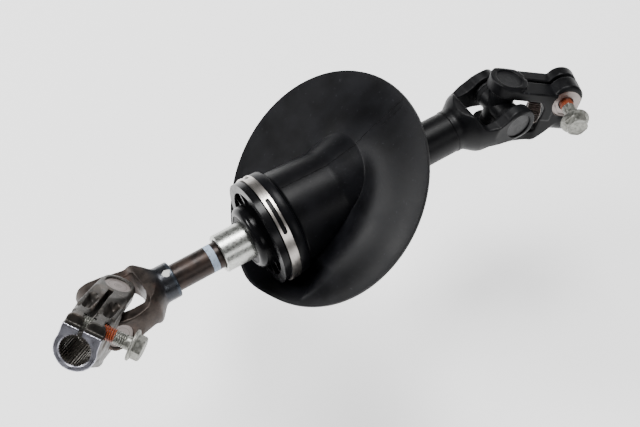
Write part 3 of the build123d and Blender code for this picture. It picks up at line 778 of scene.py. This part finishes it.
def bolt_points(yoke, height, reach, stand, outward, pitch):
    """Flange bolt as one grid: rows are rings along the bolt, columns go round it.

    The hexagon's radius is its flat distance over the cosine of the angle from the
    nearest flat's middle, cut by a chamfer cone; the thread's radius falls and rises
    once for each pitch, moved on by the turn.
    """
    radius, flange, head, across, length = 4.0, 8.75, 4.8, 12.0, 34.0
    flange_height, thread_depth = 1.8, 0.62
    sides = 96
    turn = np.linspace(0, 2 * math.pi, sides, endpoint=False)
    from_flat = (turn + math.pi / 6) % (math.pi / 3) - math.pi / 6
    hexagon = across / 2 / np.cos(from_flat)
    thread_z = np.arange(-length + 1.0, -3.0, pitch / 10)
    corner = across / 2 / math.cos(math.pi / 6)
    rows = [(-length, radius - 1.2)]
    for z in thread_z:
        phase = (z / pitch - turn / (2 * math.pi)) % 1.0
        tooth = np.clip(np.abs(phase - 0.5) * 2.6 - 0.25, 0.0, 1.0)
        start = min(1.0, (z + length) / 1.4)
        fade = min(1.0, (-2.6 - z) / 1.2)
        crest = radius - (1 - start) * 1.1
        rows.append((z, crest - thread_depth * max(0.0, fade) * (1 - tooth) * start))
    rows += [
        (-2.4, radius - 0.1), (-0.6, radius - 0.1), (0.0, radius + 0.4),
        (0.0, flange - 0.35), (0.35, flange), (0.95, flange), (1.30, flange - 0.4),
        (flange_height, corner + 0.3), (flange_height + 0.25, hexagon + 0.05),
    ]
    top = flange_height + head
    for z in np.linspace(flange_height + 0.6, top - 0.3, 6):
        rows.append((z, np.minimum(hexagon, across / 2 + 0.15 + (top - z) * 0.75)))
    rows += [
        (top, across / 2 - 0.35), (top - 0.25, across / 2 - 1.3),
        (top - 0.35, across / 2 - 1.9), (top - 0.35, 0.4),
    ]
    grid = np.stack([
        np.stack([
            height + size * np.cos(turn),
            np.full(sides, outward * (stand + z)),
            reach + size * np.sin(turn),
        ], axis=-1)
        for z, size in rows
    ])
    return yoke.world(grid)


def boot_plane():
    """The flange plane's unit directions: its normal away from the hub, and uphill."""
    slope, roll = math.radians(FLANGE_SLOPE), math.radians(FLANGE_ROLL)
    normal = np.array([
        math.cos(slope), -math.sin(slope) * math.sin(roll), -math.sin(slope) * math.cos(roll)
    ])
    uphill = np.array([
        math.sin(slope), math.cos(slope) * math.sin(roll), math.cos(slope) * math.cos(roll)
    ])
    return normal, uphill


def neck_radius(x):
    """The neck's outer radius: two straight tapers that meet at its step."""
    flare = math.tan(math.radians(NECK_FLARE))
    tapered = np.interp(x, [WELL_FLOOR, NECK_STEP_X], [NECK_RADIUS, NECK_TOP_RADIUS])
    return tapered + np.maximum(0.0, x - NECK_STEP_X) * flare


def window(turn, middle, reach):
    """1 at the middle angle, falling as a squared cosine to 0 at this reach (degrees)."""
    off = (np.degrees(turn) - middle + 180.0) % 360.0 - 180.0
    return np.cos(math.pi / 2 * np.clip(off / reach, -1, 1)) ** 2


def boot_points(dish, roll):
    """The boot as a closed ring of profiles, one for each angle round the shaft.

    Each profile runs out along the collar and neck to the neck's foot, out over the
    flange to its rim and back underneath. The rim lies on a slanted plane. Towards the
    foot the flange is drawn forward by the dish, most on the uphill side, and between
    foot and rim a soft roll rises on the near side. Where the plane comes nearer than
    the hub's length, a smooth step carries the flange back round the hub.
    """
    normal, uphill = boot_plane()
    turn = np.linspace(0, 2 * math.pi, 420, endpoint=False)
    out = np.stack([np.zeros_like(turn), np.sin(turn), np.cos(turn)], axis=-1)
    climb = -(out @ normal) / normal[0]
    drawn = dish * window(turn, DISH_TURN, DISH_REACH)
    foot = np.full_like(turn, 60.0)
    for _ in range(40):
        plane = FLANGE_X + climb * neck_radius(foot) - drawn
        foot = 0.5 * foot + 0.5 * np.maximum(plane, WELL_FLOOR)
    foot_radius = neck_radius(foot)
    centre = np.array([FLANGE_X, 0, 0]) + uphill * FLANGE_UP
    ray = out + climb[:, None] * np.array([1.0, 0, 0])
    start = np.array([FLANGE_X, 0, 0]) - centre
    a = np.sum(ray * ray, axis=1)
    b = 2 * ray @ start
    c = start @ start - FLANGE_RADIUS ** 2
    rim = (-b + np.sqrt(b * b - 4 * a * c)) / (2 * a)
    spare = rim - WELL_RADIUS - 0.6
    rim = WELL_RADIUS + 0.6 + (spare + np.sqrt(spare ** 2 + 9.0)) / 2
    rows = []

    def ring(x, radius):
        x = np.broadcast_to(np.asarray(x, float), turn.shape)
        radius = np.broadcast_to(np.asarray(radius, float), turn.shape)
        rows.append(np.stack([x, radius * out[:, 1], radius * out[:, 2]], axis=-1))

    for x, radius in (
        (COLLAR_FRONT, HUB_SEAT_RADIUS), (COLLAR_FRONT, COLLAR_RADIUS - 0.3),
        (COLLAR_FRONT + 0.3, COLLAR_RADIUS), (BAND_END, COLLAR_RADIUS),
        (BAND_END, RIDGE_RADIUS - 0.2), (BAND_END + 0.3, RIDGE_RADIUS),
        (COLLAR_END - 1.4, RIDGE_RADIUS), (COLLAR_END - 0.5, RIDGE_RADIUS - 0.4),
        (COLLAR_END, RIDGE_RADIUS - 1.2), (COLLAR_END + 0.1, NECK_RADIUS + 0.1),
        (COLLAR_END + 0.8, NECK_RADIUS - 0.5), (COLLAR_END + 1.6, NECK_RADIUS),
    ):
        ring(x, radius)
    begin = COLLAR_END + 2.2
    for part in np.linspace(0, 1, 34):
        x = begin + (foot - begin) * part
        ring(x, neck_radius(x))
    first = len(rows) - 1
    step_width = np.clip(rim - WELL_RADIUS - 0.9, 1.0, 14.0)
    for part in np.linspace(0, 1, 56)[1:]:
        radius = foot_radius + (rim - foot_radius) * part
        plane_x = FLANGE_X + climb * radius
        forward = drawn * (1 - part) ** 2 * (1 + 2 * part)
        swell = math.sin(math.pi * part ** 0.72) ** 2
        rise = roll * window(turn, ROLL_TURN, ROLL_REACH) * swell
        x = plane_x - forward - rise
        fall = np.clip((radius - WELL_RADIUS) / step_width, 0, 1)
        fall = 1 - fall * fall * (3 - 2 * fall)
        ring(x + np.maximum(0, WELL_FLOOR - x) * fall, radius)
    front = np.stack(rows)
    sheet = front[first:]
    along = np.gradient(sheet, axis=0)
    around = (np.roll(sheet, -1, axis=1) - np.roll(sheet, 1, axis=1)) / 2
    upright = np.cross(along, around)
    upright = upright / np.linalg.norm(upright, axis=-1, keepdims=True)
    upright = upright * np.sign(np.sum(upright * normal, axis=-1, keepdims=True) + 1e-9)
    rim_edge = sheet[-1] + upright[-1] * (BOOT_WALL / 2)
    outward = sheet[-1] - sheet[-2]
    outward = outward / np.linalg.norm(outward, axis=-1, keepdims=True)
    back = (sheet + upright * BOOT_WALL)[::-1]
    inner = []
    for part in np.linspace(1, 0, 14):
        x = HUB_SEAT_END + (foot - HUB_SEAT_END) * part
        radius = neck_radius(x) - BOOT_WALL
        inner.append(np.stack([x, radius * out[:, 1], radius * out[:, 2]], axis=-1))
    seat = np.stack([
        np.full_like(turn, HUB_SEAT_END), HUB_SEAT_RADIUS * out[:, 1],
        HUB_SEAT_RADIUS * out[:, 2],
    ], axis=-1)
    edge = rim_edge + outward * 0.25
    return np.concatenate([front, edge[None], back, np.stack(inner), seat[None]])


class SHAFT_OT_boot(bpy.types.Operator):
    """Make the rubber boot and the plastic hub's finish"""

    bl_idname = "shaft.boot"
    bl_label = "Boot and hub"

    def execute(self, context):
        forms = context.scene.shaft_forms
        points = boot_points(forms.dish / MM, forms.roll / MM)
        boot = grid_skin("boot_skin", points, ring=True, sharp=40.0)
        settle(boot, "boot", "boot", boot_rubber(), "boot")
        wear(moulded_black("hub_black", 0.20), "hub")
        wear(moulded_black("seal_black", 0.45), "hub_seal", "hub_bush")
        wear(stainless_band(), "band_clamp")
        return {"FINISHED"}


class SHAFT_OT_lower_joint(bpy.types.Operator):
    """Make the lower joint's forged yokes and finish its cups and cross"""

    bl_idname = "shaft.lower_joint"
    bl_label = "Lower joint"

    def execute(self, context):
        yoke = LOWER_CLAMP
        length, cup = LOWER_LENGTH, LOWER_CUP
        clamp = forged_skin(
            "lower_clamp_yoke", "lower_clamp_forging",
            [
                bore_plug(yoke, length),
                block(yoke, (3.0, -0.75, 10.5), (17.0, 1.95, 33.0)),
                block(yoke, (3.0, -0.75, 32.0), (13.0, 1.95, 47.0)),
                block(yoke, (3.0, -0.75, 46.0), (11.8, 1.95, length - 0.1)),
            ],
            [
                serrated_cutter(yoke, length),
                solid_cylinder(yoke, length - 0.6, length + 0.4, (8.7, 9.7)),
                block(yoke, (3.0, -0.7, 10.4), (24.0, 1.9, length + 2.0)),
                cup_cutter(yoke, cup),
            ],
        )
        settle(
            clamp, "lower_clamp", "lower_clamp_yoke", phosphate_forging(),
            "lower_clamp_yoke",
        )
        tube = forged_skin(
            "lower_tube_yoke", "lower_tube_forging", [],
            [cup_cutter(LOWER_TUBE, cup)],
        )
        settle(tube, "lower_slide", "lower_tube_yoke", scaled_forging(), "lower_tube_yoke")
        pink = (0.30, 0.262, 0.248)
        wear(cap_steel("lower_tube_caps", LOWER_TUBE, 20.6, pink, 0.8, 0.55, 0.42),
             "lower_tube_cups")
        wear(cap_steel("lower_clamp_caps", LOWER_CLAMP, 19.2, pink, 0.8, 0.55, 0.42),
             "lower_clamp_cups")
        wear(zinc_plate("ground_steel", (0.17, 0.16, 0.15), 0.34), "lower_cross")
        wear(moulded_black("seal_rubber", 0.6), "lower_cross_seals", "upper_cross_seals")
        wear(drawn_bar(), "lower_shaft")
        return {"FINISHED"}


class SHAFT_OT_upper_joint(bpy.types.Operator):
    """Make the upper joint's forged yokes and finish its cups, cross and tube"""

    bl_idname = "shaft.upper_joint"
    bl_label = "Upper joint"

    def execute(self, context):
        yoke = UPPER_CLAMP
        length, cup = UPPER_LENGTH, UPPER_CUP
        clamp = forged_skin(
            "upper_clamp_yoke", "upper_clamp_forging",
            [bore_plug(yoke, length)],
            [
                serrated_cutter(yoke, length),
                block(yoke, (3.0, -3.2, 10.4), (26.0, -0.6, length + 2.0)),
                cup_cutter(yoke, cup),
                solid_cylinder(yoke, 9.9, 16.0, 9.2, axis="y", centre=UPPER_BOLT[::2]),
                solid_cylinder(yoke, -1.0, 12.0, 4.4, axis="y", centre=UPPER_BOLT[::2]),
            ],
        )
        settle(
            clamp, "upper_clamp", "upper_clamp_yoke", spot_faced_paint(),
            "upper_clamp_yoke",
        )
        paint = black_paint()
        tube = forged_skin(
            "upper_tube_yoke", "upper_tube_forging", [],
            [cup_cutter(UPPER_TUBE, cup)],
        )
        settle(tube, "tube", "upper_tube_yoke", paint, "upper_tube_yoke")
        wear(paint, "upper_tube", "upper_cross")
        dark = (0.008, 0.0082, 0.0095)
        wear(cap_steel("upper_tube_caps", UPPER_TUBE, 20.1, dark, 0.3, 0.1, 0.42),
             "upper_tube_cups")
        wear(cap_steel("upper_clamp_caps", UPPER_CLAMP, 19.4, dark, 0.3, 0.1, 0.42),
             "upper_clamp_cups")
        return {"FINISHED"}


class SHAFT_OT_slide(bpy.types.Operator):
    """Finish the plated sleeve and its liner"""

    bl_idname = "shaft.slide"
    bl_label = "Slide sleeve"

    def execute(self, context):
        zinc = context.scene.shaft_finishes.zinc
        wear(zinc_plate("sleeve_zinc", zinc, 0.26), "slide_sleeve")
        wear(moulded_black("liner_plastic", 0.5), "slip_liner")
        return {"FINISHED"}


class SHAFT_OT_bolts(bpy.types.Operator):
    """Make the pinch bolts with their threads"""

    bl_idname = "shaft.bolts"
    bl_label = "Pinch bolts"

    def execute(self, context):
        pitch = context.scene.shaft_forms.thread_pitch / MM
        for side, yoke, centre, stand, outward, first, last in (
            ("lower", LOWER_CLAMP, LOWER_BOLT, 25.0, -1, 8.0, 15.5),
            ("upper", UPPER_CLAMP, UPPER_BOLT, 25.4, 1, 7.0, 13.5),
        ):
            points = bolt_points(yoke, centre[0], centre[2], stand, outward, pitch)
            node = side + "_pinch_bolt"
            bolt = grid_skin(side + "_bolt_skin", points, sharp=24.0)
            shown = bolt_flake(side + "_bolt_flake", yoke, centre, first, last, outward)
            settle(bolt, side + "_clamp", node, shown, node)
        return {"FINISHED"}


class SHAFT_OT_stage(bpy.types.Operator):
    """Set the floor, the lights and the camera"""

    bl_idname = "shaft.stage"
    bl_label = "Stage"

    def execute(self, context):
        stage = context.scene.shaft_stage
        low, high = CAD_BOX
        centre = (low + high) / 2
        floor_mesh = bpy.data.meshes.new("floor")
        reach, level = 6.0, low.z - stage.floor_drop
        corners = [(-reach, -reach), (reach, -reach), (reach, reach), (-reach, reach)]
        floor_mesh.from_pydata([(x, y, level) for x, y in corners], [], [(0, 1, 2, 3)])
        floor = bpy.data.objects.new("floor", floor_mesh)
        context.scene.collection.objects.link(floor)
        finish = Finish("pale_floor", roughness=0.9, Emission_Strength=1.3)
        finish.set("Emission Color", (1.0, 1.0, 1.0))
        finish.set("Base Color", finish.blend(finish.noise(400.0), stage.floor, (0.97, 0.97, 0.97)))
        floor_mesh.materials.append(finish.done())
        world = bpy.data.worlds.new("studio")
        world.use_nodes = True
        context.scene.world = world
        sky = world.node_tree.nodes["Background"]
        sky.inputs["Color"].default_value = (1.0, 1.0, 1.0, 1.0)
        sky.inputs["Strength"].default_value = 0.08
        for name, place, size, power in (
            ("key", (0.28, 0.38, 1.15), 0.50, 15.0),
            ("left", (-0.90, 0.55, 0.78), 0.40, 13.0),
            ("front", (0.35, -1.1, 0.75), 0.50, 2.5),
        ):
            lamp = bpy.data.lights.new(name, "AREA")
            lamp.shape = "DISK"
            lamp.size = size
            lamp.energy = power
            light = bpy.data.objects.new(name, lamp)
            context.scene.collection.objects.link(light)
            light.location = centre + Vector(place)
            light.rotation_euler = (-Vector(place)).to_track_quat("-Z", "Y").to_euler()
        self.place_camera(context, stage)
        return {"FINISHED"}

    def place_camera(self, context, stage):
        """The camera, by where it stands along its own three axes."""
        turn, rise = math.radians(stage.azimuth), math.radians(stage.elevation)
        right = Vector((math.cos(turn), math.sin(turn), 0.0))
        back = Vector((
            math.sin(turn) * math.cos(rise), -math.cos(turn) * math.cos(rise), math.sin(rise)
        ))
        up = back.cross(right)
        side, lift, distance = 0.03568, 0.01160, 0.78100
        lens = bpy.data.cameras.new("camera")
        lens.lens = stage.lens
        lens.sensor_width = 36.0
        camera = bpy.data.objects.new("camera", lens)
        context.scene.collection.objects.link(camera)
        axes = Matrix((right, up, back)).transposed()
        camera.matrix_world = Matrix.Translation(
            right * side + up * lift + back * distance
        ) @ axes.to_4x4()
        context.scene.camera = camera


class SHAFT_PT_panel(bpy.types.Panel):
    """Sizes, colours and steps of the shaft's looks"""

    bl_idname = "SHAFT_PT_panel"
    bl_label = "Steering shaft"
    bl_space_type = "VIEW_3D"
    bl_region_type = "UI"
    bl_category = "Shaft"

    def draw(self, context):
        for group in ("shaft_finishes", "shaft_forms", "shaft_stage"):
            settings = getattr(context.scene, group)
            for name in settings.__annotations__:
                self.layout.prop(settings, name)
        for step in STEPS:
            self.layout.operator(step.bl_idname)


STEPS = (
    SHAFT_OT_boot, SHAFT_OT_lower_joint, SHAFT_OT_upper_joint, SHAFT_OT_slide,
    SHAFT_OT_bolts, SHAFT_OT_stage,
)
CLASSES = (Finishes, Forms, StageSettings, *STEPS, SHAFT_PT_panel)


def register():
    for kind in CLASSES:
        bpy.utils.register_class(kind)
    bpy.types.Scene.shaft_finishes = bpy.props.PointerProperty(type=Finishes)
    bpy.types.Scene.shaft_forms = bpy.props.PointerProperty(type=Forms)
    bpy.types.Scene.shaft_stage = bpy.props.PointerProperty(type=StageSettings)


def unregister():
    for name in ("shaft_stage", "shaft_forms", "shaft_finishes"):
        delattr(bpy.types.Scene, name)
    for kind in reversed(CLASSES):
        bpy.utils.unregister_class(kind)


def main():
    register()
    for step in ("boot", "lower_joint", "upper_joint", "slide", "bolts", "stage"):
        getattr(bpy.ops.shaft, step)()


if __name__ == "__main__":
    main()
